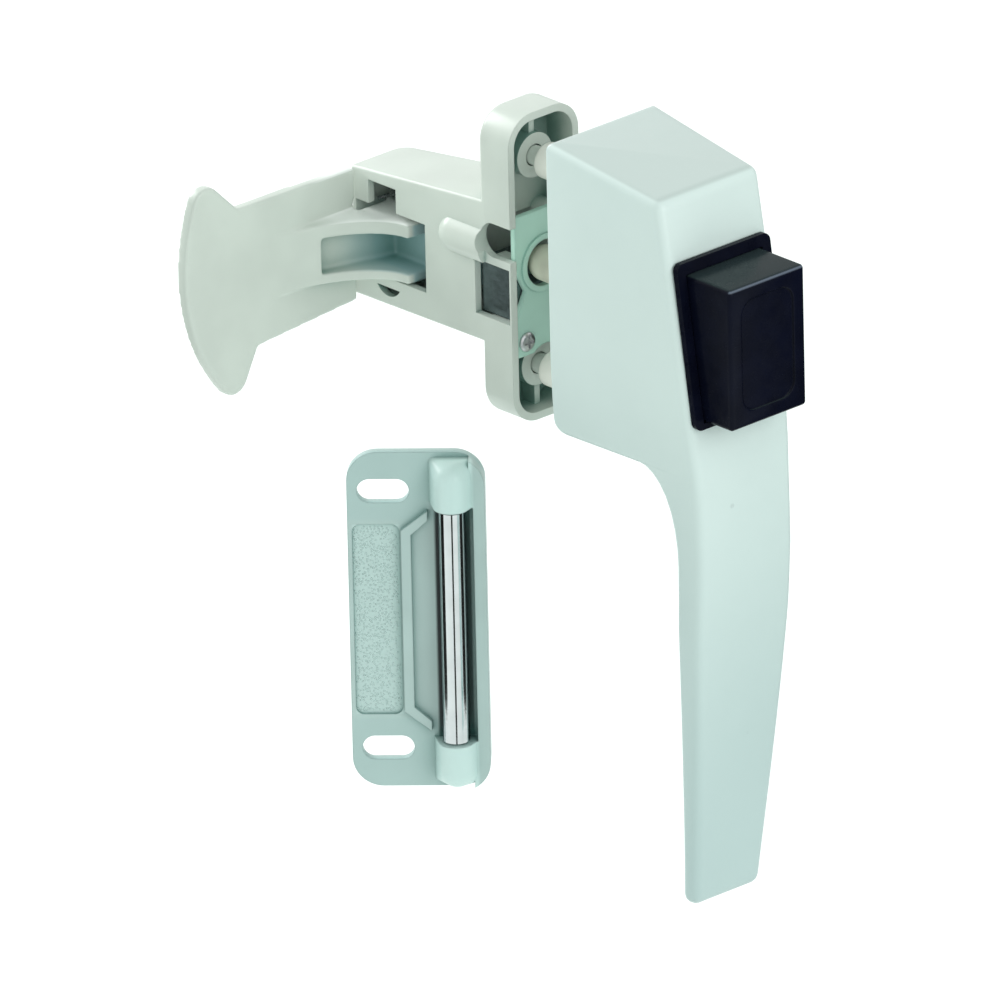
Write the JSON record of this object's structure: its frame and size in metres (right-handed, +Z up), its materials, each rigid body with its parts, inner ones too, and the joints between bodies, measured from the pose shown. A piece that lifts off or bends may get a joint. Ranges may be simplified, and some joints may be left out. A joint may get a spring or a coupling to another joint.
{
  "type": "storm door pushbutton latch",
  "caption": "Pushbutton latch for a storm door: an outside pull handle with a push button, an inside latch with a fishtail lever, and a strike with a roller.",
  "frame": {"origin": "on the push button's axis, in the plane where the outside handle meets the door", "axes": "+X towards the door's closing edge, +Y into the room, +Z up"},
  "size_m": [0.0753, 0.1105, 0.156],
  "materials": {
    "cast_painted": "semi-gloss pale grey-green enamel",
    "black_plastic": "gloss",
    "cream_plastic": "satin",
    "plated_steel": "zinc plated",
    "spring_steel": "bright wire",
    "bolt_steel": "satin",
    "painted_screw": "semi-gloss",
    "chrome_roller": "polished"
  },
  "bodies": {
    "latch": {"handle": "cast_painted", "button_bezel": "black_plastic", "button_spring": "spring_steel", "guide_plate": "plated_steel", "guide_screws": "plated_steel", "inside_case": "cast_painted", "bolt_cover": "cast_painted", "cover_screws": "plated_steel", "lever_pin": "plated_steel", "lever_spring": "spring_steel", "mounting_screw_upper": "painted_screw", "mounting_screw_lower": "painted_screw", "strike_plate": "cast_painted", "roller_pin": "plated_steel"},
    "lever": {"lever": "cast_painted"},
    "bolt": {"latch_bolt": "bolt_steel"},
    "button": {"push_button": "black_plastic", "button_plunger": "cream_plastic"},
    "roller": {"strike_roller": "chrome_roller"}
  },
  "joints": [
    {"name": "lever_turn", "type": "hinge", "parent": "latch", "child": "lever", "pos_m": [-0.0005, 0.0568, 0], "axis": [0, 0, -1], "range_deg": [0, 12]},
    {"name": "bolt_slide", "type": "slide", "parent": "latch", "child": "bolt", "axis": [-1, 0, 0], "range_m": [0, 0.0069]},
    {"name": "button_press", "type": "slide", "parent": "latch", "child": "button", "axis": [0, 1, 0], "range_m": [0, 0.0069], "stiffness_N_per_m": 480, "springref_m": -0.0137, "deforming": ["button_spring"]},
    {"name": "roller_spin", "type": "hinge", "parent": "latch", "child": "roller", "pos_m": [-0.01782, 0.02644, -0.0755], "axis": [0, 0, 1], "continuous": true}
  ],
  "couplings": [
    {"joint": "lever_turn", "follows": "button_press", "rad_per_m": 30.2},
    {"joint": "bolt_slide", "follows": "button_press", "ratio": 1}
  ]
}
